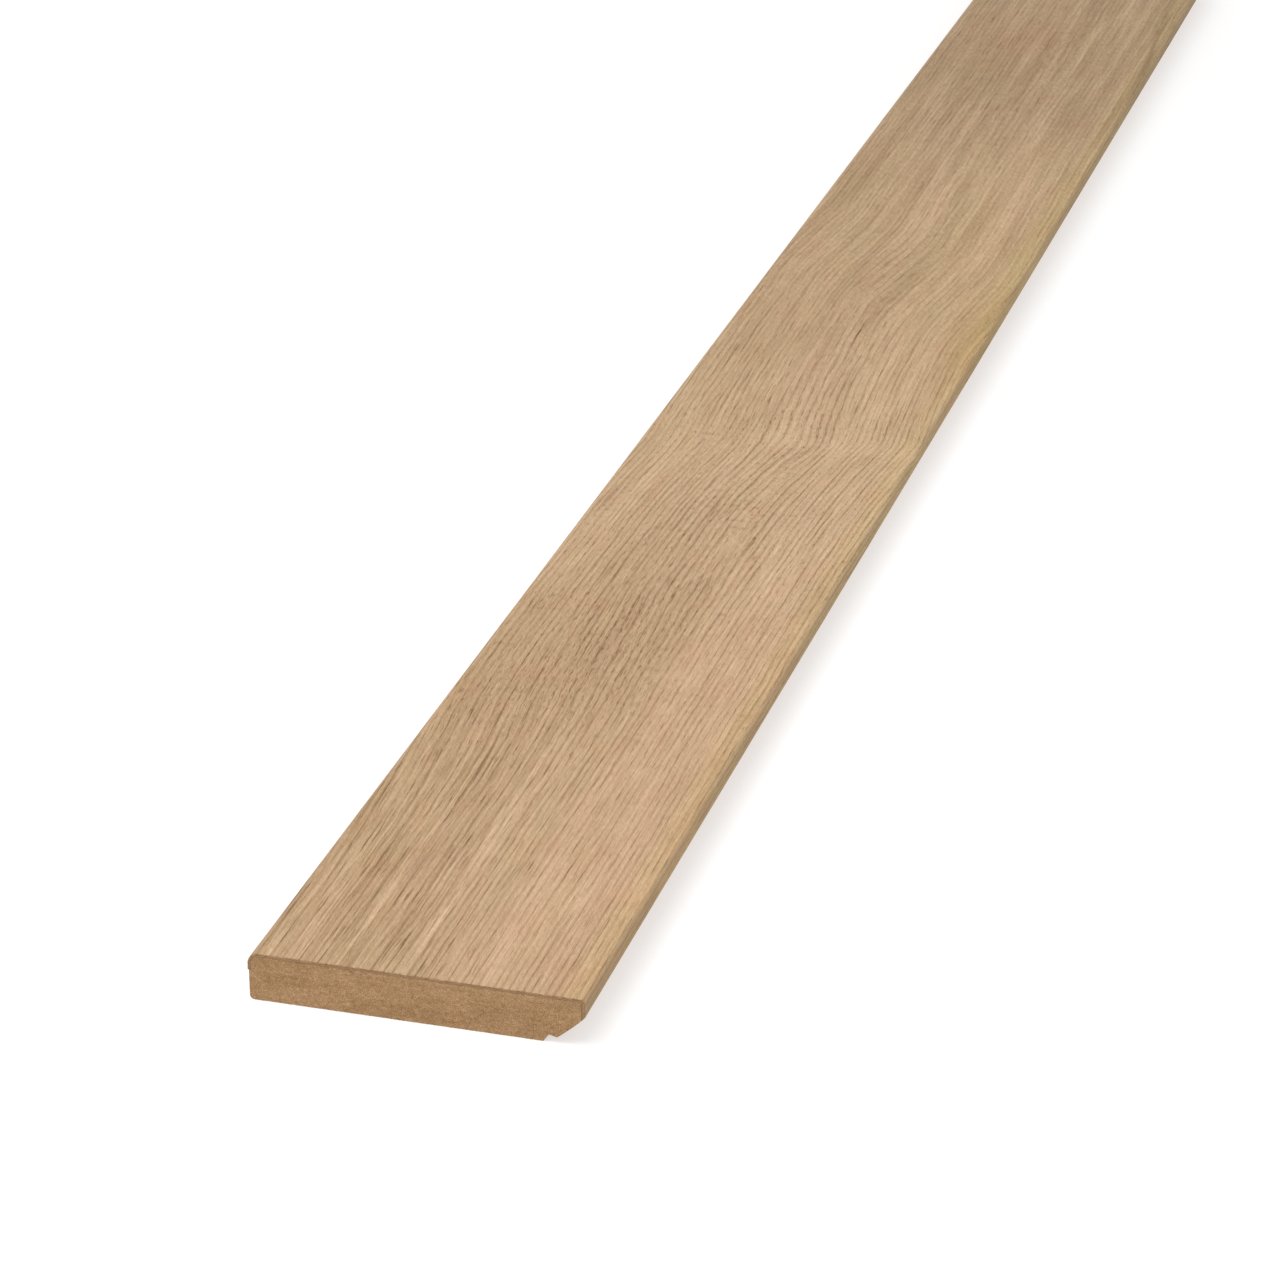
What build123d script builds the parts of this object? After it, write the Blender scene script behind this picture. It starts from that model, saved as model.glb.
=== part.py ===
from build123d import *
import os

# Threshold strip: a long flat MDF moulding with oak veneer wrapped over its top and both long edges.
#
# It lies on the floor of a door opening. X runs across the width, with the rounded edge at -X and the
# undercut edge at +X. Y runs along the length. Z is up. The origin is in the plane of the underside,
# at the middle of the width and of the length. All sizes are in millimetres.
#
# There are four pieces, from the inside out: the moulded core, the glue film, the fleece that backs
# the veneer and keeps it from splitting on the bends, and the veneer. The three skins lie face to
# face. They end part way down the rounded side, and at the undercut on the other side.

# Overall size
WIDTH = 100.0
THICKNESS = 15.0
LENGTH = 1050.0

# Skins, from the outside in
VENEER = 0.6
FLEECE = 0.2
GLUE = 0.1
SKINS = VENEER + FLEECE + GLUE

# Rounded edge
ROUND_OVER = 3.5  # radius along the top
FOOT_EASE = 1.5  # radius along the bottom
SKIN_END = 9.5  # height at which the skins stop
SKIN_PROUD = 0.4  # how far the veneer stands out from the bare core below it

# Undercut edge, with distances across measured from the outer side
ARRIS = 1.2  # radius along the top
SIDE_END = 9.1  # height at which the undercut meets the outer side
UNDERCUT_BOW = 0.2  # how far the undercut bulges past a straight line
LIP_START = 8.0
LIP_FINISH = 8.5
LIP_HEIGHT = 1.8
NOTCH_ROOT = 10.5
NOTCH_DEPTH = 2.3
FLAT_END = 12.2  # where the flat underside stops

LEFT = -WIDTH / 2
RIGHT = WIDTH / 2
CLEAR = 5.0  # how far cutting outlines run past the board

# Sections are drawn as (across, up) on the plane of the +Y end and pushed back along the length
END = Plane.XZ.offset(-LENGTH / 2)


def board(inset):
    """The wrapped board's outline, set in at the top and both sides by inset."""
    with BuildSketch() as outline:
        Rectangle(WIDTH - 2 * inset, THICKNESS - inset, align=(Align.CENTER, Align.MIN))
        fillet(outline.vertices().sort_by_distance((LEFT, THICKNESS))[0], ROUND_OVER - inset)
        fillet(outline.vertices().sort_by_distance((RIGHT, THICKNESS))[0], ARRIS - inset)
    return outline.sketch


def undercut():
    """What is machined away below the undercut edge: the relief notch, the lip and the bowed slope."""
    foot = (RIGHT - LIP_START, LIP_HEIGHT)
    brow = (RIGHT, SIDE_END)
    flat = (RIGHT - FLAT_END, 0)
    with BuildSketch() as outline:
        with BuildLine():
            Polyline(flat, (RIGHT - NOTCH_ROOT, NOTCH_DEPTH), (RIGHT - LIP_FINISH, LIP_HEIGHT), foot)
            SagittaArc(foot, brow, -UNDERCUT_BOW)
            Polyline(brow, (RIGHT + CLEAR, SIDE_END), (RIGHT + CLEAR, -CLEAR), (flat[0], -CLEAR), flat)
        make_face()
    return outline.sketch


def skin(outer, inner):
    """Section of one skin, which fills the board from one inset to a deeper one."""
    with BuildSketch() as outline:
        add(board(outer))
        add(board(inner), mode=Mode.SUBTRACT)
        add(undercut(), mode=Mode.SUBTRACT)
        with Locations((LEFT, 0)):
            Rectangle(ROUND_OVER, SKIN_END, align=(Align.MIN, Align.MIN), mode=Mode.SUBTRACT)
    return outline.sketch


# Core: moulded MDF. Below the skins its rounded side steps out, nearly flush with the veneer.
with BuildPart() as mdf_core:
    with BuildSketch(END) as core_section:
        add(board(SKINS))
        with Locations((LEFT + SKIN_PROUD, 0)):
            Rectangle(WIDTH / 2, SKIN_END, align=(Align.MIN, Align.MIN))
        fillet(core_section.vertices().sort_by_distance((LEFT, 0))[0], FOOT_EASE)
        add(undercut(), mode=Mode.SUBTRACT)
    extrude(amount=LENGTH)
mdf_core.part.label = "mdf_core"

# Glue film: the set adhesive that holds the backed veneer on the core
with BuildPart() as glue_film:
    with BuildSketch(END):
        add(skin(VENEER + FLEECE, SKINS))
    extrude(amount=LENGTH)
glue_film.part.label = "glue_film"

# Fleece: the nonwoven backing that comes bonded to the veneer
with BuildPart() as veneer_fleece:
    with BuildSketch(END):
        add(skin(VENEER, VENEER + FLEECE))
    extrude(amount=LENGTH)
veneer_fleece.part.label = "veneer_fleece"

# Veneer: the visible oak face
with BuildPart() as oak_veneer:
    with BuildSketch(END):
        add(skin(0, VENEER))
    extrude(amount=LENGTH)
oak_veneer.part.label = "oak_veneer"

os.makedirs("parts", exist_ok=True)
for piece in (mdf_core, glue_film, veneer_fleece, oak_veneer):
    export_step(piece.part, f"parts/{piece.part.label}.step")
    print(piece.part.label, round(piece.part.volume), "mm3", piece.part.bounding_box())
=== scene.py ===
"""Looks of the threshold strip: oak veneer wrapped over a sawn MDF core, on a pale floor.

Everything is in metres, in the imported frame: X across, Y along the length, Z up. Materials work in
millimetres, because grain, pores and fibres are that small.
"""

import math

import bpy
import numpy as np
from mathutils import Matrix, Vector, noise
from mathutils.geometry import delaunay_2d_cdt


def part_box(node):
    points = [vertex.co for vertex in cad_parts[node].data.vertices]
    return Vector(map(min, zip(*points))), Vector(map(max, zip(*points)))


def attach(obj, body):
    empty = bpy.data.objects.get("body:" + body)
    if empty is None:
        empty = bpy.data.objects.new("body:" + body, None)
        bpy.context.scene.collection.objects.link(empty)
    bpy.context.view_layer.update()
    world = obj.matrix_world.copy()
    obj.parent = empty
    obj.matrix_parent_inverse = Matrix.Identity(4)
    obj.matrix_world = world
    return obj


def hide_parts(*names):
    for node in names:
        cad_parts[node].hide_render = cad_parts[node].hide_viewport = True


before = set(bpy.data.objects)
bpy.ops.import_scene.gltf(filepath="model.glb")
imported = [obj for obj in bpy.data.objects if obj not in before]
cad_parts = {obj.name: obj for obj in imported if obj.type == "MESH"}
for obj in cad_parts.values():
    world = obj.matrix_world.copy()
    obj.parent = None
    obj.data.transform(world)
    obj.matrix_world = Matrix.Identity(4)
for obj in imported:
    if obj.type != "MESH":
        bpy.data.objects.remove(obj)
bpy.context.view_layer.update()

MM = 0.001

# ---------------------------------------------------------------- sizes, read from the frame

LOW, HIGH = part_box("oak_veneer")
LEFT, RIGHT, TOP = LOW.x, HIGH.x, HIGH.z
NEAR, FAR = LOW.y, HIGH.y

# How deep below the outer face each layer starts
FLEECE_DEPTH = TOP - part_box("veneer_fleece")[1].z
GLUE_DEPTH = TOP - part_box("glue_film")[1].z
CORE_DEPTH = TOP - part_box("mdf_core")[1].z
CORE_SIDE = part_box("mdf_core")[0].x  # the bare rounded side below the skins

# Section of the strip
ROUND_OVER = 3.5 * MM
ARRIS = 1.2 * MM
FOOT_EASE = 1.5 * MM
SKIN_END = 9.5 * MM
BROW = Vector((RIGHT, 9.1 * MM))
FOOT = Vector((RIGHT - 8.0 * MM, 1.8 * MM))
LIP = Vector((RIGHT - 8.5 * MM, 1.8 * MM))
NOTCH = Vector((RIGHT - 10.5 * MM, 2.3 * MM))
FLAT_END = Vector((RIGHT - 12.2 * MM, 0.0))
UNDERCUT_BOW = 0.2 * MM


# ---------------------------------------------------------------- the section as curves

def undercut_circle():
    """Centre and radius of the shallow arc that the undercut follows."""
    chord = BROW - FOOT
    radius = chord.length ** 2 / (8 * UNDERCUT_BOW) + UNDERCUT_BOW / 2
    inward = Vector((-chord.y, chord.x)).normalized()
    centre = (BROW + FOOT) / 2 + inward * (radius - UNDERCUT_BOW)
    return centre, radius


def undercut_height(x):
    """Height of the undercut at a place across."""
    centre, radius = undercut_circle()
    return centre.y - math.sqrt(radius ** 2 - (x - centre.x) ** 2)


def wrap_path(pitch):
    """The sheet's outer face, from its edge on the rounded side to its edge at the undercut.

    Each entry is (place, inward direction, share of the way down the undercut side).
    """
    path = []
    for z in spaced(SKIN_END, TOP - ROUND_OVER, pitch):
        path.append((Vector((LEFT, z)), Vector((1, 0)), None))
    centre = Vector((LEFT + ROUND_OVER, TOP - ROUND_OVER))
    for angle in spaced(0, math.pi / 2, pitch / ROUND_OVER):
        out = Vector((-math.cos(angle), math.sin(angle)))
        path.append((centre + out * ROUND_OVER, -out, None))
    for x in spaced(LEFT + ROUND_OVER, RIGHT - ARRIS, pitch):
        path.append((Vector((x, TOP)), Vector((0, -1)), None))
    centre = Vector((RIGHT - ARRIS, TOP - ARRIS))
    for angle in spaced(0, math.pi / 2, pitch / ARRIS / 2):
        out = Vector((math.sin(angle), math.cos(angle)))
        path.append((centre + out * ARRIS, -out, None))
    for share in list(spaced(0, 1, pitch / (TOP - ARRIS - BROW.y))) + [1.0]:
        path.append((Vector((RIGHT, TOP - ARRIS)), Vector((-1, 0)), share))
    return path


def spaced(start, end, pitch):
    """Evenly spaced values from start up to, and without, end."""
    count = max(2, round(abs(end - start) / pitch))
    return np.linspace(start, end, count, endpoint=False)


def on_layer(entry, depth):
    """The place on a layer's face that lies under an entry of the wrap path."""
    place, inward, share = entry
    place = place + inward * depth
    if share is not None:
        place.y += (undercut_height(place.x) - place.y) * share
    return place


def core_outline(pitch):
    """The core's closed outline, anticlockwise seen from the near end, as evenly spaced points."""
    corners = [FLAT_END, NOTCH, LIP, FOOT]
    outline = []
    for start, end in zip(corners, corners[1:]):
        outline += [start.lerp(end, t) for t in spaced(0, 1, pitch / (end - start).length)]
    inner_side = RIGHT - CORE_DEPTH
    for x in spaced(FOOT.x, inner_side, pitch * 0.7):
        outline.append(Vector((x, undercut_height(x))))
    entries = wrap_path(pitch)
    outline += [on_layer(entry, CORE_DEPTH) for entry in reversed(entries)]
    for x in spaced(LEFT + CORE_DEPTH, CORE_SIDE, pitch / 2):
        outline.append(Vector((x, SKIN_END)))
    for z in spaced(SKIN_END, FOOT_EASE, pitch):
        outline.append(Vector((CORE_SIDE, z)))
    centre = Vector((CORE_SIDE + FOOT_EASE, FOOT_EASE))
    for angle in spaced(0, math.pi / 2, pitch / FOOT_EASE):
        outline.append(centre - Vector((math.cos(angle), math.sin(angle))) * FOOT_EASE)
    for x in spaced(CORE_SIDE + FOOT_EASE, FLAT_END.x, pitch):
        outline.append(Vector((x, 0.0)))
    return without_repeats(outline)


def without_repeats(points):
    kept = []
    for point in points:
        if not kept or (point - kept[-1]).length > 0.01 * MM:
            kept.append(point)
    return kept


# ---------------------------------------------------------------- roughness of cut edges

# How rough a cut is along its length, as (pitch in mm, weight) pairs
SHEET_SPLINTERS = ((0.9, 1.0), (0.35, 0.6))
SHEET_BRUISES = ((0.8, 1.0), (0.4, 0.8))
CORE_CRUMBS = ((1.1, 1.0), (0.45, 0.7))

# Added to a piece's seed, so that its ends differ and bruises don't follow splinters
END_SEEDS = {"near": 0, "far": 50}
BRUISE_SEED = 20

FADE = 2.5 * MM  # how far in from the end the roughness of the cut dies out
CRUSH_REACH = 0.5 * MM  # how far in from the end the arris of a sheet is bruised
CRUSH_SHARE = 0.35  # the most that a bruise takes off a sheet, as a share of its thickness
CRUMB_REACH = 0.3 * MM  # how far in from the end the arris of the core has crumbled
CRUMB_LEAST = 0.05 * MM  # how far in the arris is worn everywhere, and the most more at a crumb
CRUMB_MORE = 0.16 * MM
CRUMB_BACK = 0.05 * MM  # the most that the core's arris stands back from the saw plane


def chatter(across, seed, octaves):
    """Seeded roughness between 0 and 1 along a cut, summed from (pitch in mm, weight) pairs."""
    total = sum(weight for pitch, weight in octaves)
    value = 0.0
    for pitch, weight in octaves:
        value += weight * abs(noise.noise(Vector((across / MM / pitch, seed * 7.31, pitch))))
    return min(1.0, 2.2 * value / total)  # the noise itself seldom passes 0.45


def end_recess(across, seed, depth):
    """How far a sheet's cut end stands back from the saw plane: splinters, and a chip here and there."""
    fine = chatter(across, seed, SHEET_SPLINTERS)
    chip = max(0.0, noise.noise(Vector((across / MM / 1.7, seed * 3.1, 9.0))) - 0.35)
    return depth * (0.55 * fine + 1.6 * chip)


# Distances from a cut end at which a mesh gets a ring of points, closer together near the end
END_ROWS = [d * MM for d in (0.0, 0.05, 0.12, 0.25, 0.5, 1.0, 2.0, 4.0, 8.0, 16.0, 32.0)]
LONG_STEP = 24 * MM


def along_rows():
    """(end, distance from it) for every ring of points, from the near end to the far end."""
    near = [("near", d) for d in END_ROWS]
    far = [("far", d) for d in reversed(END_ROWS)]
    middle = spaced(END_ROWS[-1], FAR - NEAR - END_ROWS[-1], LONG_STEP)[1:]
    return near + [("near", d) for d in middle] + far


def along_shares(rows):
    """How far along the strip each ring of points is, from 0 to 1."""
    length = FAR - NEAR
    return [(d if end == "near" else length - d) / length for end, d in rows]


def along_place(end, distance, recess):
    """Y of a point that is a distance in from an end whose cut stands back by recess."""
    back = distance + recess * max(0.0, 1 - distance / FADE)
    return NEAR + back if end == "near" else FAR - back


# ---------------------------------------------------------------- places on a piece's texture

# Each part of a piece has its own area of a unit square: (left, right, bottom, top). A long face
# is cut in two at the middle of the strip, so that it is sharper along the strip.
SHEET_HALVES = ((0.005, 0.43, 0.004, 0.996), (0.44, 0.865, 0.004, 0.996))
SHEET_BACK = (0.875, 0.895, 0.004, 0.996)
SHEET_EDGES = ((0.903, 0.913, 0.004, 0.996), (0.921, 0.931, 0.004, 0.996))
SHEET_ENDS = {"near": (0.94, 0.965, 0.004, 0.996), "far": (0.973, 0.996, 0.004, 0.996)}
CORE_HALVES = ((0.005, 0.385, 0.004, 0.996), (0.395, 0.775, 0.004, 0.996))
CORE_ENDS = {"near": (0.79, 0.888, 0.004, 0.996), "far": (0.898, 0.996, 0.004, 0.996)}


def on_texture(area, across, along):
    """A place in an area of the texture, from its shares of the area's width and height."""
    left, right, bottom, top = area
    return (left + (right - left) * across, bottom + (top - bottom) * along)


def in_half(halves, places, row, along, middle):
    """Places on a long face, put in the half that holds a row of faces. They meet at the middle row."""
    first_share = along[middle]
    if row < middle:
        return [on_texture(halves[0], a, t / first_share) for a, t in places]
    return [on_texture(halves[1], a, (t - first_share) / (1 - first_share)) for a, t in places]


def middle_row(along):
    """The ring of points nearest the middle of the strip."""
    return min(range(len(along)), key=lambda row: abs(along[row] - 0.5))


def store_map(piece, name, corners):
    """Adds a UV map that holds one place for each face corner."""
    layer = piece.data.uv_layers.new(name=name)
    layer.data.foreach_set("uv", np.array(corners).ravel())


# ---------------------------------------------------------------- meshes

def new_piece(name, points, faces, slots, materials):
    """A smooth-shaded object whose edges stay sharp where faces meet steeply."""
    mesh = bpy.data.meshes.new(name)
    mesh.from_pydata(points, [], faces)
    for material in materials:
        mesh.materials.append(material)
    mesh.polygons.foreach_set("material_index", slots)
    mesh.shade_smooth()
    mesh.set_sharp_from_angle(angle=math.radians(40))
    mesh.validate()
    piece = bpy.data.objects.new(name, mesh)
    bpy.context.scene.collection.objects.link(piece)
    return piece


def wrapped_sheet(name, outer, inner, pitch, recess_depth, seed, materials):
    """A closed sheet wrapped over the core between two depths, with ragged sawn ends.

    Its "sheet" UV map holds, in metres, the place across the unrolled sheet and along the strip.
    """
    path = wrap_path(pitch)
    across = unrolled(path, outer)
    rows = along_rows()
    points = sheet_points(path, across, rows, (outer, inner), recess_depth, seed)
    faces, slots = sheet_faces(len(path), len(rows))
    piece = new_piece(name, points, faces, slots, materials)

    vertex = np.empty(len(piece.data.loops), dtype=np.int32)
    piece.data.loops.foreach_get("vertex_index", vertex)
    u = np.tile(np.array(across + across[::-1]), len(rows))[vertex]
    v = np.array([p[1] for p in points])[vertex] - NEAR
    store_map(piece, "sheet", np.column_stack((u, v)))
    store_map(piece, "OFBake", sheet_corners(across, rows))
    return piece


def unrolled(path, depth):
    """Places of the wrap path across the unrolled sheet, equal to X less LEFT on the flat top."""
    face = [on_layer(entry, depth) for entry in path]
    across = [0.0]
    for a, b in zip(face, face[1:]):
        across.append(across[-1] + (b - a).length)
    flat_start = next(i for i, (place, inward, share) in enumerate(path) if inward.y == -1)
    shift = face[flat_start].x - LEFT - across[flat_start]
    return [a + shift for a in across]


def sheet_points(path, across, rows, depths, recess_depth, seed):
    """The sheet's points in rings: each runs over the outer face and back under the inner one."""
    outer, inner = depths
    ring = [on_layer(entry, outer) for entry in path]
    ring += [on_layer(entry, inner) for entry in reversed(path)]
    ring_across = across + across[::-1]
    recess, bruise = {}, {}
    for end, shift in END_SEEDS.items():
        recess[end] = [end_recess(a, seed + shift, recess_depth) for a in ring_across]
        bruise[end] = [chatter(a, seed + shift + BRUISE_SEED, SHEET_BRUISES) for a in across]
    points = []
    for end, distance in rows:
        ease = max(0.0, 1 - distance / CRUSH_REACH) ** 2
        for i, place in enumerate(ring):
            if i < len(path):
                inward = path[i][1]
                place = place + inward * ease * bruise[end][i] * CRUSH_SHARE * (inner - outer)
            points.append((place.x, along_place(end, distance, recess[end][i]), place.y))
    return points


def sheet_faces(width, row_count):
    """Faces and material slots of a sheet whose rings have two layers of width points each."""
    count = 2 * width
    faces, slots = [], []
    for row in range(row_count - 1):
        a, b = row * count, (row + 1) * count
        for i in range(count):
            j = (i + 1) % count
            faces.append((a + i, b + i, b + j, a + j))
            slots.append(0)
    last = (row_count - 1) * count
    for i in range(width - 1):
        k = count - 1 - i
        faces.append((i, i + 1, k - 1, k))
        faces.append((last + k, last + k - 1, last + i + 1, last + i))
        slots += [1, 1]
    return faces, slots


def sheet_corners(across, rows):
    """Texture places of the corners of a sheet's faces, in the order of sheet_faces."""
    share = [(a - across[0]) / (across[-1] - across[0]) for a in across]
    along = along_shares(rows)
    middle = middle_row(along)
    count = 2 * len(across)
    edge = len(across) - 1
    corners = []
    for row, (t, t_next) in enumerate(zip(along, along[1:])):
        for i in range(count):
            j = (i + 1) % count
            if i < edge:
                places = [(share[i], t), (share[i], t_next), (share[j], t_next), (share[j], t)]
                corners += in_half(SHEET_HALVES, places, row, along, middle)
            elif i == edge or j == 0:
                area = SHEET_EDGES[0 if j else 1]
                places = [(0, t), (0, t_next), (1, t_next), (1, t)]
                corners += [on_texture(area, *place) for place in places]
            else:
                s, s_next = share[count - 1 - i], share[count - 1 - j]
                places = [(s, t), (s, t_next), (s_next, t_next), (s_next, t)]
                corners += [on_texture(SHEET_BACK, *place) for place in places]
    for s, s_next in zip(share, share[1:]):
        places = [(0, s), (0, s_next), (1, s_next), (1, s)]
        corners += [on_texture(SHEET_ENDS["near"], *place) for place in places]
        corners += [on_texture(SHEET_ENDS["far"], 1 - a, t) for a, t in places]
    return corners


def sawn_core(name, pitch, seed, materials):
    """The moulded core, with long machined sides and rough sawn ends."""
    outline = core_outline(pitch)
    rows = along_rows()
    points = core_points(outline, rows, seed)
    faces, corners = core_sides(outline, rows)
    slots = [0] * len(faces)
    last = (len(rows) - 1) * len(outline)
    for end, first in (("near", 0), ("far", last)):
        rim = range(first, first + len(outline))
        add_sawn_end(end, rim, pitch, seed, points, faces, corners)
    slots += [1] * (len(faces) - len(slots))
    piece = new_piece(name, points, faces, slots, materials)
    store_map(piece, "OFBake", corners)
    return piece


def core_points(outline, rows, seed):
    """The points of the core's sides in rings, with its arrises crumbled at the sawn ends."""
    inward = []
    for i in range(len(outline)):
        run = outline[(i + 1) % len(outline)] - outline[i - 1]
        inward.append(Vector((-run.y, run.x)).normalized())
    crumbs = {
        end: [chatter(p.x + p.y * 3, seed + shift, CORE_CRUMBS) for p in outline]
        for end, shift in END_SEEDS.items()
    }
    points = []
    for end, distance in rows:
        ease = max(0.0, 1 - distance / CRUMB_REACH) ** 2
        for i, place in enumerate(outline):
            crumb = crumbs[end][i]
            moved = place + inward[i] * ease * (CRUMB_LEAST + CRUMB_MORE * crumb)
            points.append((moved.x, along_place(end, distance, CRUMB_BACK * crumb), moved.y))
    return points


def core_sides(outline, rows):
    """Faces between the core's rings of points, and the texture places of their corners."""
    count = len(outline)
    share = bare_shares(outline)
    along = along_shares(rows)
    middle = middle_row(along)
    faces, corners = [], []
    for row, (t, t_next) in enumerate(zip(along, along[1:])):
        a, b = row * count, (row + 1) * count
        for i in range(count):
            j = (i + 1) % count
            faces.append((a + i, a + j, b + j, b + i))
            s, s_next = share[i], share[i + 1]
            places = [(s, t), (s_next, t), (s_next, t_next), (s, t_next)]
            corners += in_half(CORE_HALVES, places, row, along, middle)
    return faces, corners


def add_sawn_end(end, rim, pitch, seed, points, faces, corners):
    """Fills a ring of the core's points with a rough sawn face."""
    outline = [Vector((points[i][0], points[i][2])) for i in rim]
    flat = outline + scattered_inside(outline, pitch, seed)
    edges = [(i, (i + 1) % len(rim)) for i in range(len(rim))]
    places, _, triangles, origin, _, _ = delaunay_2d_cdt(flat, edges, [], 1, 1e-7)
    index = []
    for place, source in zip(places, origin):
        if source and source[0] < len(rim):
            index.append(rim[source[0]])
        else:
            back = sawn_depth(place, end, seed)
            index.append(len(points))
            points.append((place.x, NEAR + back if end == "near" else FAR - back, place.y))
    for triangle in triangles:
        turned = triangle if end == "near" else triangle[::-1]
        faces.append([index[i] for i in turned])
        for i in turned:
            up, across = places[i].y / TOP, (places[i].x - LEFT) / (RIGHT - LEFT)
            corners.append(on_texture(CORE_ENDS[end], up, across))


def bare_shares(outline):
    """Shares of the way round the core's outline, in which what the skins hide counts a tenth."""
    travelled = [0.0]
    for i, place in enumerate(outline):
        run = outline[(i + 1) % len(outline)] - place
        middle = place + run / 2
        above_undercut = middle.y > undercut_height(min(middle.x, BROW.x)) + 0.05 * MM
        hidden = middle.y > SKIN_END and above_undercut
        travelled.append(travelled[-1] + run.length * (0.1 if hidden else 1.0))
    return [d / travelled[-1] for d in travelled]


def scattered_inside(rim, pitch, seed):
    """Jittered points inside an outline, one pitch apart and clear of the rim."""
    scatter = np.random.default_rng(seed)
    corners = np.array([(p.x, p.y) for p in rim])
    low, high = corners.min(axis=0), corners.max(axis=0)
    found = []
    for x in np.arange(low[0] + pitch / 2, high[0], pitch):
        for z in np.arange(low[1] + pitch / 2, high[1], pitch):
            place = np.array((x, z)) + scatter.uniform(-0.3, 0.3, 2) * pitch
            gap = np.min(np.sum((corners - place) ** 2, axis=1))
            if gap > (0.55 * pitch) ** 2 and is_inside(place, corners):
                found.append(Vector(place))
    return found


def is_inside(place, corners):
    """Whether a point lies inside a closed outline, by counting crossings."""
    x1, z1 = corners[:, 0], corners[:, 1]
    x2, z2 = np.roll(x1, -1), np.roll(z1, -1)
    spans = (z1 > place[1]) != (z2 > place[1])
    slope = (x2 - x1)[spans] / (z2 - z1)[spans]
    crossing = x1[spans] + (place[1] - z1[spans]) * slope
    return np.count_nonzero(crossing > place[0]) % 2 == 1


def sawn_depth(place, end, seed):
    """How deep a point of the sawn face lies behind the saw plane: torn fibres and fine scoring."""
    x, z = place.x / MM, place.y / MM
    shift = seed + END_SEEDS[end]
    fibre = abs(noise.noise(Vector((x / 0.8, z / 0.6, shift))))
    tuft = abs(noise.noise(Vector((x / 2.6, z / 1.9, shift + 5))))
    return (0.01 + 0.09 * fibre + 0.06 * tuft) * MM


# ---------------------------------------------------------------- node arithmetic

# In the materials, a number that divides a place is the size of a feature in millimetres.

class Field:
    """A number that varies over a surface. Ordinary arithmetic on it adds Math nodes."""

    def __init__(self, tree, socket):
        self.tree = tree
        self.socket = socket

    def math(self, operation, *others, clamp=False):
        node = self.tree.nodes.new("ShaderNodeMath")
        node.operation = operation
        node.use_clamp = clamp
        for pin, value in zip(node.inputs, (self, *others)):
            feed(self.tree, pin, value)
        return Field(self.tree, node.outputs[0])

    def __add__(self, other):
        return self.math("ADD", other)

    def __sub__(self, other):
        return self.math("SUBTRACT", other)

    def __mul__(self, other):
        return self.math("MULTIPLY", other)

    def __truediv__(self, other):
        return self.math("DIVIDE", other)

    __radd__ = __add__
    __rmul__ = __mul__

    def __rsub__(self, other):
        return self * -1 + other

    def clamped(self):
        return self.math("ADD", 0.0, clamp=True)

    def squared(self):
        return self * self

    def fraction(self):
        return self.math("FRACT")

    def whole(self):
        return self.math("FLOOR")

    def step(self, start, end):
        """0 before start, 1 after end, and smooth between them."""
        node = self.tree.nodes.new("ShaderNodeMapRange")
        node.interpolation_type = "SMOOTHSTEP"
        feed(self.tree, node.inputs["Value"], self)
        feed(self.tree, node.inputs["From Min"], start)
        feed(self.tree, node.inputs["From Max"], end)
        return Field(self.tree, node.outputs["Result"])

    def hump(self, middle, reach):
        """1 at middle, fading to nearly nothing two reaches away on either side."""
        offset = (self - middle) / reach
        return (offset.squared() * -1).math("EXPONENT")


def feed(tree, pin, value):
    """Gives an input its value: a link from a field, or a plain number or colour."""
    if isinstance(value, Field):
        tree.links.new(value.socket, pin)
    else:
        pin.default_value = value


def grain_noise(x, y, z=0.0, detail=2.0, rough=0.5):
    """Smooth noise about 0.5 over three coordinates, of which x at least is a field."""
    tree = x.tree
    vector = tree.nodes.new("ShaderNodeCombineXYZ")
    for pin, value in zip(vector.inputs, (x, y, z)):
        feed(tree, pin, value)
    node = tree.nodes.new("ShaderNodeTexNoise")
    node.inputs["Scale"].default_value = 1.0
    node.inputs["Detail"].default_value = detail
    node.inputs["Roughness"].default_value = rough
    tree.links.new(vector.outputs[0], node.inputs["Vector"])
    return Field(tree, node.outputs["Fac"])


def cells(x, y, z):
    """Distance from the nearest of a scatter of points, one to each unit cell."""
    tree = x.tree
    vector = tree.nodes.new("ShaderNodeCombineXYZ")
    for pin, value in zip(vector.inputs, (x, y, z)):
        feed(tree, pin, value)
    node = tree.nodes.new("ShaderNodeTexVoronoi")
    node.inputs["Scale"].default_value = 1.0
    tree.links.new(vector.outputs[0], node.inputs["Vector"])
    return Field(tree, node.outputs["Distance"])


def ramp(field, *stops):
    """Colour of a field, from (value, colour) stops."""
    node = field.tree.nodes.new("ShaderNodeValToRGB")
    feed(field.tree, node.inputs["Fac"], field)
    elements = node.color_ramp.elements
    while len(elements) < len(stops):
        elements.new(0.5)
    for element, (place, colour) in zip(elements, stops):
        element.position = place
        element.color = colour
    return Field(field.tree, node.outputs["Color"])


def tinted(colour, share, tint):
    """The colour multiplied by a tint, as far as share says."""
    node = colour.tree.nodes.new("ShaderNodeMix")
    node.data_type = "RGBA"
    node.blend_type = "MULTIPLY"
    node.clamp_result = False
    feed(colour.tree, node.inputs[0], share)
    feed(colour.tree, node.inputs[6], colour)
    feed(colour.tree, node.inputs[7], tint)
    return Field(colour.tree, node.outputs[2])


def shade(red, green, blue, share=1.0):
    """A colour given as it shows on a screen, 0 to 255, made linear and scaled by share."""
    linear = []
    for channel in (red, green, blue):
        c = channel / 255
        linear.append(share * (c / 12.92 if c <= 0.04045 else ((c + 0.055) / 1.055) ** 2.4))
    return (*linear, 1.0)


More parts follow.
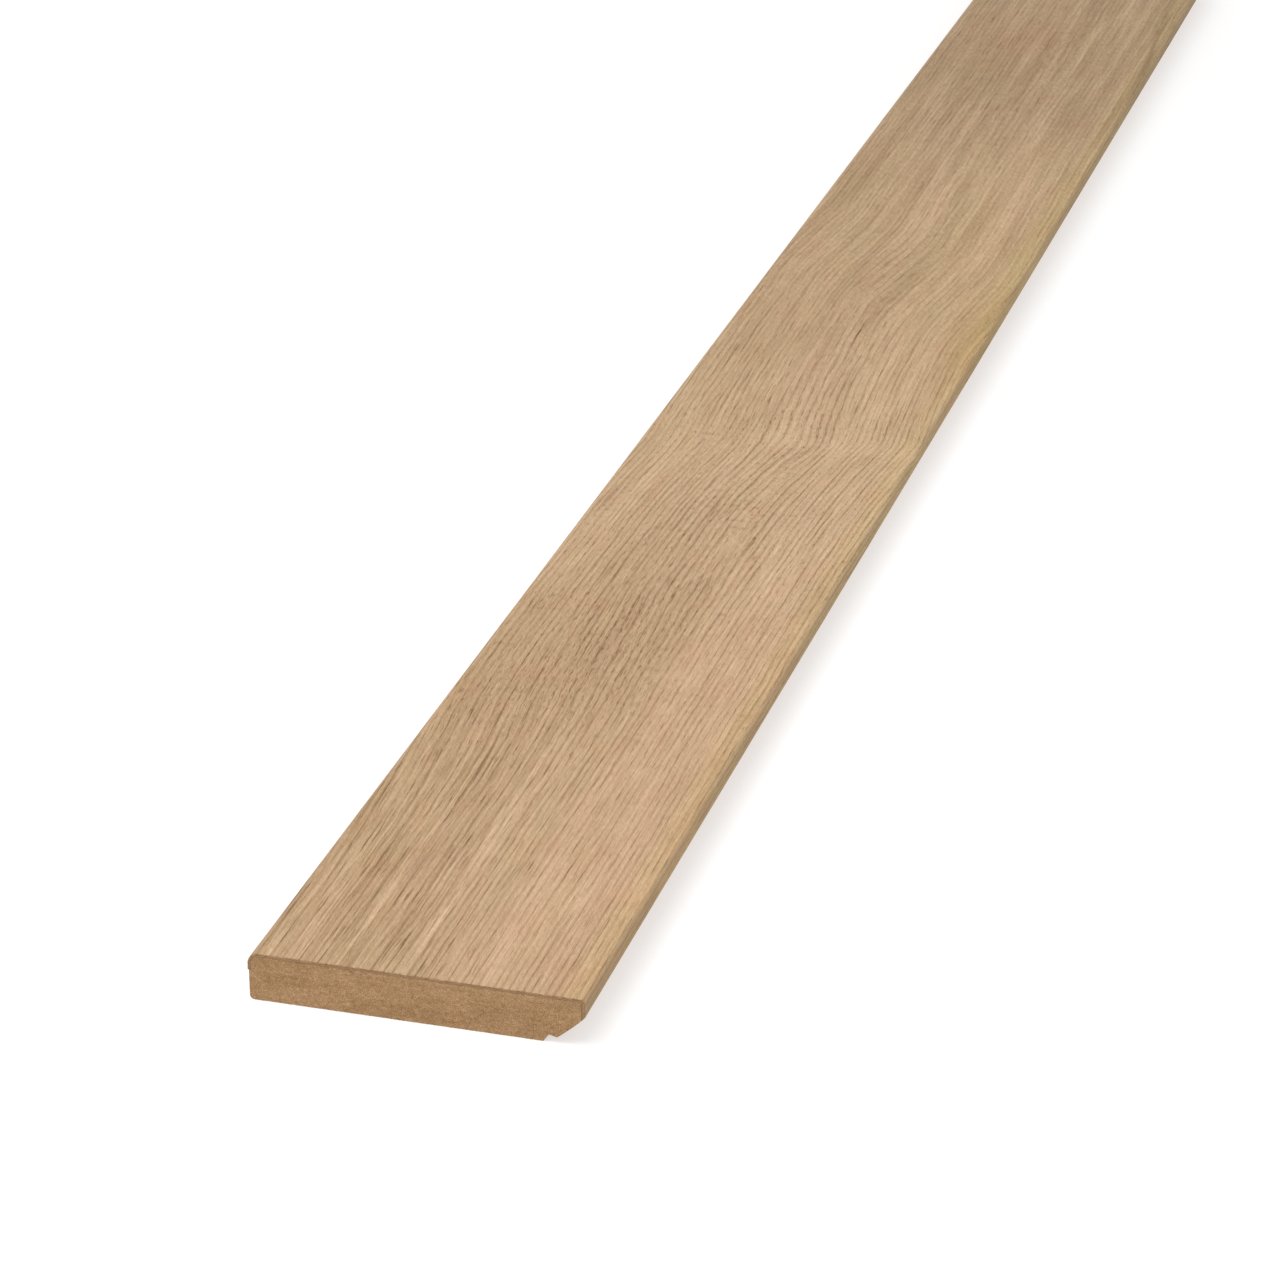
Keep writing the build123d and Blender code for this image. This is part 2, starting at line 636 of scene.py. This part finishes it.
def new_material(name):
    """An empty material and its tree, with a matt surface shader already joined to the output."""
    material = bpy.data.materials.new(name)
    material.use_nodes = True
    tree = material.node_tree
    shader = next(n for n in tree.nodes if n.type == "BSDF_PRINCIPLED")
    return material, tree, shader


def finish_surface(tree, shader, colour, roughness, relief, depth):
    """Joins a colour, a roughness and a relief of the given depth in metres to a shader."""
    feed(tree, shader.inputs["Base Color"], colour)
    feed(tree, shader.inputs["Roughness"], roughness)
    bump = tree.nodes.new("ShaderNodeBump")
    bump.inputs["Distance"].default_value = depth
    bump.inputs["Strength"].default_value = 1.0
    feed(tree, bump.inputs["Height"], relief)
    tree.links.new(bump.outputs["Normal"], shader.inputs["Normal"])


def sheet_place(tree):
    """Millimetres across the unrolled sheet, from the rounded edge, and along it from the near end."""
    uv = tree.nodes.new("ShaderNodeUVMap")
    uv.uv_map = "sheet"
    split = tree.nodes.new("ShaderNodeSeparateXYZ")
    tree.links.new(uv.outputs[0], split.inputs[0])
    return Field(tree, split.outputs[0]) / MM, Field(tree, split.outputs[1]) / MM


def solid_place(tree):
    """X, Y and Z of the surface in millimetres."""
    place = tree.nodes.new("ShaderNodeTexCoord")
    split = tree.nodes.new("ShaderNodeSeparateXYZ")
    tree.links.new(place.outputs["Object"], split.inputs[0])
    return [Field(tree, output) / MM for output in split.outputs]


# ---------------------------------------------------------------- oak

LENGTH = (FAR - NEAR) / MM
LIT = 0.78  # share of the screen colour that a level surface has as its own colour in this light
END_LIT = 1.25 * LIT  # the same for the veneer's sawn end, which gets less light
OAK = (198, 163, 125)  # screen colour of the veneer's middle tone
OAK_STEPS = (-70, -35, 0, 23, 46)  # tones about it, in steps of a screen value
PAINTED_SIDE_SHADE = (0.74, 0.69, 0.53, 1)  # painted shade of the side above the undercut, which gets less light; it also turns the colour more olive
CUT_EDGE_TINT = (0.80, 0.76, 0.71, 1)  # of the top face in a thin ragged line along the bruised arris of each sawn end

# Course of the growth lines, in millimetres across, or along from the near end
CLIMB = 7.5  # how far the lines move towards the rounded edge over the first quarter
FOLD_PLACE = 397
FOLD_LEAN = 0.24  # how much further along the fold is for each millimetre across
FOLD_PULL = 6.5  # how far the fold draws the lines towards the undercut edge
FOLD_REACH = 46
SWING = 7.5  # how far the lines move towards the undercut edge past the middle
RING_WIDTH = 2.15


def stepped_colour(tone, middle, steps, share):
    """Colour for a tone field in steps of a screen value: the same step up or down in every channel."""
    low, high = steps[0], steps[-1]
    stops = []
    for step in steps:
        colour = shade(*(channel + step for channel in middle), share)
        stops.append(((step - low) / (high - low), colour))
    return ramp((tone - low) / (high - low), *stops)


def growth_lines(u, y):
    """Across-the-grain coordinate in mm: it is constant along each growth line of the veneer.

    The lines climb towards the rounded edge over the first quarter of the strip, are drawn
    towards the undercut edge up to a fold in the growth, and swing over once more past the middle.
    """
    climb = -CLIMB * (y - 2.2 * (u - 15)).step(60, 235) * u.step(74, 36)

    # The fold is sharp on the undercut side and softer towards the rounded edge
    fold = FOLD_PLACE + FOLD_LEAN * u + 24 * (grain_noise(u / 17, 3.7, 1.0, detail=1.0) - 0.5)
    from_fold = ((y - fold).squared() + 14 + 380 * u.step(62, 38)).math("SQRT")
    pull = FOLD_PULL + 2.0 * u.hump(40, 22)
    folded = pull * (from_fold / -FOLD_REACH).math("EXPONENT") + 2.0 * y.step(330, 450)

    swing = SWING * (y + 0.9 * (u - 17)).step(575, 680)

    sway = 3.0 * (grain_noise(u / 38, y / 170, 4.0, detail=1.0) - 0.5)
    waver = (0.8 + 0.8 * y.step(90, 180)) * (grain_noise(u / 9, y / 32, 8.0, detail=2.0) - 0.5)
    wander = 0.4 * y.step(170, 60) * (grain_noise(u / 3.5, y / 15, 9.0, detail=1.0) - 0.5)
    return u - climb - folded - swing - sway - waver - wander


class Figure:
    """Where the veneer changes character, as fields from 0 to 1 over the unrolled sheet."""

    def __init__(self, u, y):
        self.left = u.step(62, 36)
        self.right = u.step(56, 72)
        self.bold = self.left * y.step(180, 110)  # strong bands at the near end
        self.dense = y.hump(215, 62) * u.hump(40, 22)  # a dark patch of crowded pores
        self.crisp = y.hump(350, 90) * u.step(14, 30)  # clear rings before the fold
        self.faint = y.step(430, 640)  # softer lines and wider bands past the fold


def growth_rings(s, y):
    """Early wood of the growth rings, and how strongly each shows, coming and going along the strip."""
    rings = s / RING_WIDTH + 1.5 * (grain_noise(s / 13, 0.5, 2.0, detail=1.0) - 0.5)
    strength = grain_noise(rings.whole() * 3.7, y / 48, 2.5, detail=1.0)
    return rings.fraction().hump(0.25, 0.17), (3.4 * strength - 1.2).clamped()


def pores(s, y, early, figure):
    """Dark dashes, mostly in the early wood of each ring, and shorter where the grain dips."""
    along = y / 13 + 16 * y.step(130, 330) + 30 * y.step(290, 450)
    fleck = grain_noise(s / 0.31, along, 11.0, detail=1.0)
    patch = grain_noise(s / 2.5, y / 30, 12.0, detail=1.0) - 0.5
    limit = 0.655 - 0.085 * early - 0.045 * figure.dense - 0.03 * figure.crisp
    limit = limit + 0.02 * (figure.right + figure.bold) - 0.2 * patch
    return (fleck - limit).step(0.0, 0.055)


def seams(s, y, strength, figure):
    """Longer dark seams where pores run together."""
    seam = grain_noise(s / 0.6, y / 30, 13.0, detail=2.0) - 0.5
    return (seam + 0.06 * strength + 0.03 * figure.bold - 0.16).step(0.0, 0.08)


def single_veins(u, y, s):
    """Three dark lines that stand out: two at the near end and one far down by the arris."""
    arc = 98.5 - 3.0 * y.hump(945, 40)
    near = s.hump(18.5, 1.3) * y.hump(75, 70) + 0.7 * s.hump(36, 1.0) * y.hump(40, 60)
    return near + 3.0 * (u - arc).hump(0, 1.2) * y.hump(925, 60)


def broad_tone(u, y, s, figure):
    """Tone of what is wider than a growth line, in steps of a screen value."""
    band = grain_noise(s / 4.0, y / 150, 16.0, detail=2.0) - 0.5
    cloud = grain_noise(u / 20, y / 110, 17.0, detail=3.0) - 0.5
    break_line = y.hump(414, 9) * u.step(28, 60)
    tone = (21 + 42 * figure.faint + 66 * figure.bold) * band + 26 * cloud
    tone = tone + 9 - 5 * figure.dense - 11 * single_veins(u, y, s) + 5 * break_line
    tone = tone - 4 * y.step(110, 20) - 5 * y.hump(200, 80) * figure.left
    tone = tone + 8 * y.hump(400, 110) - 6 * y.step(740, 860)
    return tone + 6 * figure.right * (1 - figure.faint + y.hump(640, 90))


def oak_tints(colour, u, y, figure):
    """Drifts of hue: pinkish towards the undercut edge, golden along its arris, browner far down; and
    painted shade on the side above the undercut.
    """
    hue = grain_noise(u / 18, y / 130, 19.0, detail=1.0)
    blush = grain_noise(u / 8, y / 24, 23.0, detail=1.0)
    for share, red, green, blue in (
        # all over, in soft patches
        ((hue - 0.35).step(0.0, 0.3), 0.985, 1.0, 0.965),
        ((blush - 0.48).step(0.0, 0.2), 1.0, 0.965, 0.955),
        # by place, from the near end
        (u.hump(50, 15) * y.step(150, 80), 1.008, 1.015, 1.03),
        (figure.right * y.step(420, 150), 1.015, 0.985, 1.01),
        (y.hump(350, 80), 1.0, 1.014, 1.01),
        (y.hump(530, 45) * u.step(78, 92), 1.0, 0.965, 0.86),
        (y.hump(600, 100), 0.99, 1.008, 0.98),
        (y.hump(640, 90) * figure.right, 1.0, 0.992, 0.955),
        (y.step(700, 860), 0.975, 1.0, 1.0),
        (y.hump(915, 40) * u.hump(36, 26), 1.0, 0.93, 0.91),
        # along the arris
        (u.step(90, 97), 0.98, 1.0, 0.89),
    ):
        colour = tinted(colour, share, (red, green, blue, 1))
    # painted shade: the side above the undercut is darkened and turned olive, as it gets less light
    return tinted(colour, u.step(99.6, 101.4), PAINTED_SIDE_SHADE)


def with_dark_cut_edges(colour, u, y):
    """Darkens the top face in a thin ragged line along the arris of each sawn end, more in some places
    than in others.
    """
    from_end = (y - LENGTH / 2).math("ABSOLUTE") * -1 + LENGTH / 2
    patchiness = grain_noise(u / 0.8, 0.5, 22.0, detail=2.0)
    return tinted(colour, from_end.step(0.9, 0.1) * patchiness.step(0.35, 0.6), CUT_EDGE_TINT)


def oak_face():
    """Matt raw oak, cut between the rays and the rings: fine straight lines with open pores."""
    material, tree, shader = new_material("oak_face")
    u, y = sheet_place(tree)
    s = growth_lines(u, y)
    figure = Figure(u, y)
    left, right, bold, faint = figure.left, figure.right, figure.bold, figure.faint
    crowded = figure.dense + figure.crisp

    early, strength = growth_rings(s, y)
    pore = pores(s, y, early, figure)
    seam = seams(s, y, strength, figure)
    fibre = grain_noise(s / 0.24, y / 12, 14.0, detail=3.0, rough=0.6) - 0.5
    strand = grain_noise(s / 0.85, y / 38, 15.0, detail=2.0) - 0.5
    lines = -20 * early * (0.35 + strength) * (1 + 0.45 * figure.crisp)
    lines = lines - 34 * pore * (1 - 0.15 * right) - (24 + 8 * left) * seam * (1 - 0.4 * right)
    lines = lines + (68 + 14 * crowded + 12 * right + 10 * bold) * fibre
    lines = lines + (45 + 24 * bold) * strand

    # What crosses the lines or breaks them up
    wisp = grain_noise((s + 0.35 * y) / 1.1, y / 3.4, 18.0, detail=2.0) - 0.5
    speck = grain_noise(s / 0.35, y / 0.6, 21.0, detail=1.0) - 0.5
    tick = grain_noise((s + 0.2 * y) / 0.3, y / 2.2, 25.0, detail=1.0) - 0.5
    tone = (1 - 0.3 * faint) * lines + broad_tone(u, y, s, figure)
    tone = tone + (24 + 22 * faint) * wisp + (34 - 8 * faint) * speck + (36 - 12 * faint) * tick

    colour = stepped_colour(tone, OAK, OAK_STEPS, LIT)
    colour = with_dark_cut_edges(oak_tints(colour, u, y, figure), u, y)
    roughness = 0.62 + 0.12 * pore - 0.06 * early + 0.1 * fibre
    relief = 0.5 + 0.22 * fibre + 0.12 * strand + 0.1 * speck - 0.5 * pore - 0.3 * seam - 0.08 * early
    finish_surface(tree, shader, colour, roughness, relief, 0.06 * MM)
    shader.inputs["Specular IOR Level"].default_value = 0.3
    return material


def oak_end_grain():
    """The veneer's sawn end: crushed, darkened fibre ends."""
    material, tree, shader = new_material("oak_end_grain")
    x, _, z = solid_place(tree)
    tube = grain_noise(x / 0.22, z / 0.2, 3.0, detail=2.0)
    scorch = grain_noise(x / 2.2, z / 1.5, 4.0, detail=2.0)
    colour = ramp(
        0.55 * tube + 0.45 * scorch,
        (0.3, shade(124, 90, 62, END_LIT)),
        (0.5, shade(157, 122, 88, END_LIT)),
        (0.7, shade(186, 151, 114, END_LIT)),
    )
    finish_surface(tree, shader, colour, 0.8 + 0.1 * tube, tube, 0.05 * MM)
    shader.inputs["Specular IOR Level"].default_value = 0.2
    return material


# ---------------------------------------------------------------- glue and fleece

def glue_material():
    """Set adhesive: brown and slightly shiny where it is cut."""
    material, tree, shader = new_material("glue")
    x, y, z = solid_place(tree)
    blot = grain_noise(x / 1.3, z / 0.5, y / 4, detail=2.0)
    colour = ramp(blot, (0.3, shade(144, 108, 78, LIT)), (0.7, shade(176, 139, 103, LIT)))
    finish_surface(tree, shader, colour, 0.4 + 0.3 * blot, blot, 0.02 * MM)
    return material


def fleece_material():
    """Nonwoven backing soaked with adhesive: a mat of short pale fibres in brown."""
    material, tree, shader = new_material("fleece")
    x, y, z = solid_place(tree)
    mat = cells(x / 0.18, y / 0.5, z / 0.12)
    blot = grain_noise(x / 0.9, y / 3, z / 0.4, detail=2.0)
    tone = 0.6 * mat + 0.5 * blot
    colour = ramp(tone, (0.3, shade(156, 120, 87, LIT)), (0.8, shade(190, 154, 116, LIT)))
    finish_surface(tree, shader, colour, 0.85, tone, 0.03 * MM)
    return material


# ---------------------------------------------------------------- MDF

MDF = (164, 129, 91)  # screen colour of the board's middle tone
MDF_STEPS = (-60, -30, 0, 25, 50)
MDF_LIT = 1.27 * LIT  # the board is only seen on its ends and sides, which get less light


def fibres(x, y, z, size, seed):
    """Short curly pale fibres lying every way, as a field that is 1 on a fibre."""
    bend_x = grain_noise(x / size, y / size, z / size + seed, detail=1.0)
    bend_z = grain_noise(x / size, y / size, z / size + seed + 9, detail=1.0)
    pitch = 0.42 * size
    curl = grain_noise(x / pitch + 2.4 * bend_x, y / pitch, z / pitch + 2.4 * bend_z, detail=2.0)
    return (curl - 0.5).math("ABSOLUTE").step(0.05, 0.0)


def mdf_material(name, roughness_of_cut, relief_depth):
    """Raw MDF: brown felted fibre, the more uneven the rougher it is cut."""
    material, tree, shader = new_material(name)
    x, y, z = solid_place(tree)
    coarse = fibres(x, y, z, 2.2, 2.0)
    fine = fibres(x, y, z, 1.0, 21.0)
    grit = grain_noise(x / 0.42, y / 0.42, z / 0.42, detail=2.0, rough=0.6) - 0.5
    dust = grain_noise(x / 0.22, y / 0.22, z / 0.22 + 7, detail=1.0) - 0.5
    tuft = grain_noise(x / 1.6, y / 1.6, z / 1.2 + 40, detail=1.0) - 0.5
    dark = (grain_noise(x / 1.3, y / 1.3, z + 33, detail=1.0) - 0.66).step(0.0, 0.1)
    blot = grain_noise(x / 7, y / 14, z / 4, detail=2.0) - 0.5
    layer = grain_noise(x / 30, y / 60, z / 1.6, detail=2.0) - 0.5
    tone = 15 * coarse + 17 * fine + 84 * grit + 52 * dust + 40 * tuft - 16 * dark - 4
    tone = roughness_of_cut * tone + 34 * blot + 22 * layer
    colour = stepped_colour(tone, MDF, MDF_STEPS, MDF_LIT)

    # Redder blots, and a darker foot beside the notch
    colour = tinted(colour, (blot + 0.1).step(0.0, 0.2), (1.0, 0.975, 0.975, 1))
    colour = tinted(colour, z.step(3.4, 1.0) * x.step(34, 44), (0.86, 0.83, 0.82, 1))
    relief = 0.4 * coarse + 0.3 * fine + 0.8 * grit
    finish_surface(tree, shader, colour, 0.88, relief, relief_depth)
    shader.inputs["Specular IOR Level"].default_value = 0.2
    return material


# ---------------------------------------------------------------- pieces

glue = glue_material()
fleece = fleece_material()

veneer = wrapped_sheet(
    "oak_veneer_sheet", 0.0, FLEECE_DEPTH,
    pitch=0.32 * MM, recess_depth=0.5 * MM, seed=1, materials=(oak_face(), oak_end_grain()),
)
backing = wrapped_sheet(
    "veneer_fleece_sheet", FLEECE_DEPTH, GLUE_DEPTH,
    pitch=0.6 * MM, recess_depth=0.14 * MM, seed=2, materials=(fleece, fleece),
)
film = wrapped_sheet(
    "glue_film_sheet", GLUE_DEPTH, CORE_DEPTH,
    pitch=0.6 * MM, recess_depth=0.1 * MM, seed=3, materials=(glue, glue),
)
core = sawn_core(
    "mdf_core_board", pitch=0.42 * MM, seed=4,
    materials=(
        mdf_material("mdf_moulded", 0.5, 0.03 * MM),
        mdf_material("mdf_sawn", 1.0, 0.09 * MM),
    ),
)

for piece, node, slot in (
    (veneer, "oak_veneer", "oak"),
    (backing, "veneer_fleece", "fleece"),
    (film, "glue_film", "glue"),
    (core, "mdf_core", "mdf"),
):
    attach(piece, "root")
    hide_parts(node)


# ---------------------------------------------------------------- floor, light and camera

FLOOR_HALF = 8.0
FLOOR_GLOW = 0.58  # strength of the light the floor gives off, so that it stays nearly white
SKY_STRENGTH = 0.70

KEY_PLACE = Vector((-0.35, NEAR - 0.25, 1.25))
KEY_TARGET = Vector((0, NEAR + 0.2, 0))
KEY_WIDTH = 1.0
KEY_POWER = 11.5

CAMERA_PLACE = Vector((0.3650, NEAR - 1.0436, 0.6286))
CAMERA_FORWARD = Vector((-0.25003, 0.87277, -0.41923))
LENS_MM = 126.2
SENSOR_MM = 36
CLIP_END = 50


def pale_floor():
    """A wide seamless pale floor with a barely uneven surface."""
    half = FLOOR_HALF
    corners = [(-half, -half, 0), (half, -half, 0), (half, half, 0), (-half, half, 0)]
    mesh = bpy.data.meshes.new("floor")
    mesh.from_pydata(corners, [], [(0, 1, 2, 3)])
    material, tree, shader = new_material("floor")
    x, y, _ = solid_place(tree)
    cloud = grain_noise(x / 700, y / 700, detail=2.0)
    colour = ramp(cloud, (0.3, (0.47, 0.47, 0.47, 1)), (0.7, (0.49, 0.49, 0.49, 1)))
    feed(tree, shader.inputs["Base Color"], colour)
    shader.inputs["Roughness"].default_value = 0.9
    shader.inputs["Specular IOR Level"].default_value = 0.1
    shader.inputs["Emission Color"].default_value = (1, 1, 1, 1)
    shader.inputs["Emission Strength"].default_value = FLOOR_GLOW
    mesh.materials.append(material)
    floor = bpy.data.objects.new("floor", mesh)
    bpy.context.scene.collection.objects.link(floor)


def studio():
    """Even white surroundings with a large soft light over the near end."""
    world = bpy.data.worlds.new("studio")
    world.use_nodes = True
    background = world.node_tree.nodes["Background"]
    background.inputs["Color"].default_value = (1, 1, 1, 1)
    background.inputs["Strength"].default_value = SKY_STRENGTH
    bpy.context.scene.world = world

    lamp = bpy.data.lights.new("key", "AREA")
    lamp.size = KEY_WIDTH
    lamp.energy = KEY_POWER
    light = bpy.data.objects.new("key", lamp)
    light.location = KEY_PLACE
    light.rotation_euler = (KEY_TARGET - KEY_PLACE).to_track_quat("-Z", "Y").to_euler()
    bpy.context.scene.collection.objects.link(light)


def camera():
    """A long lens without roll, from above and to the near right, looking down along the strip."""
    lens = bpy.data.cameras.new("camera")
    lens.sensor_width = SENSOR_MM
    lens.lens = LENS_MM
    lens.clip_end = CLIP_END
    eye = bpy.data.objects.new("camera", lens)
    eye.location = CAMERA_PLACE
    eye.rotation_euler = CAMERA_FORWARD.to_track_quat("-Z", "Y").to_euler()
    bpy.context.scene.collection.objects.link(eye)
    bpy.context.scene.camera = eye


pale_floor()
studio()
camera()
bpy.context.scene.view_settings.view_transform = "Standard"
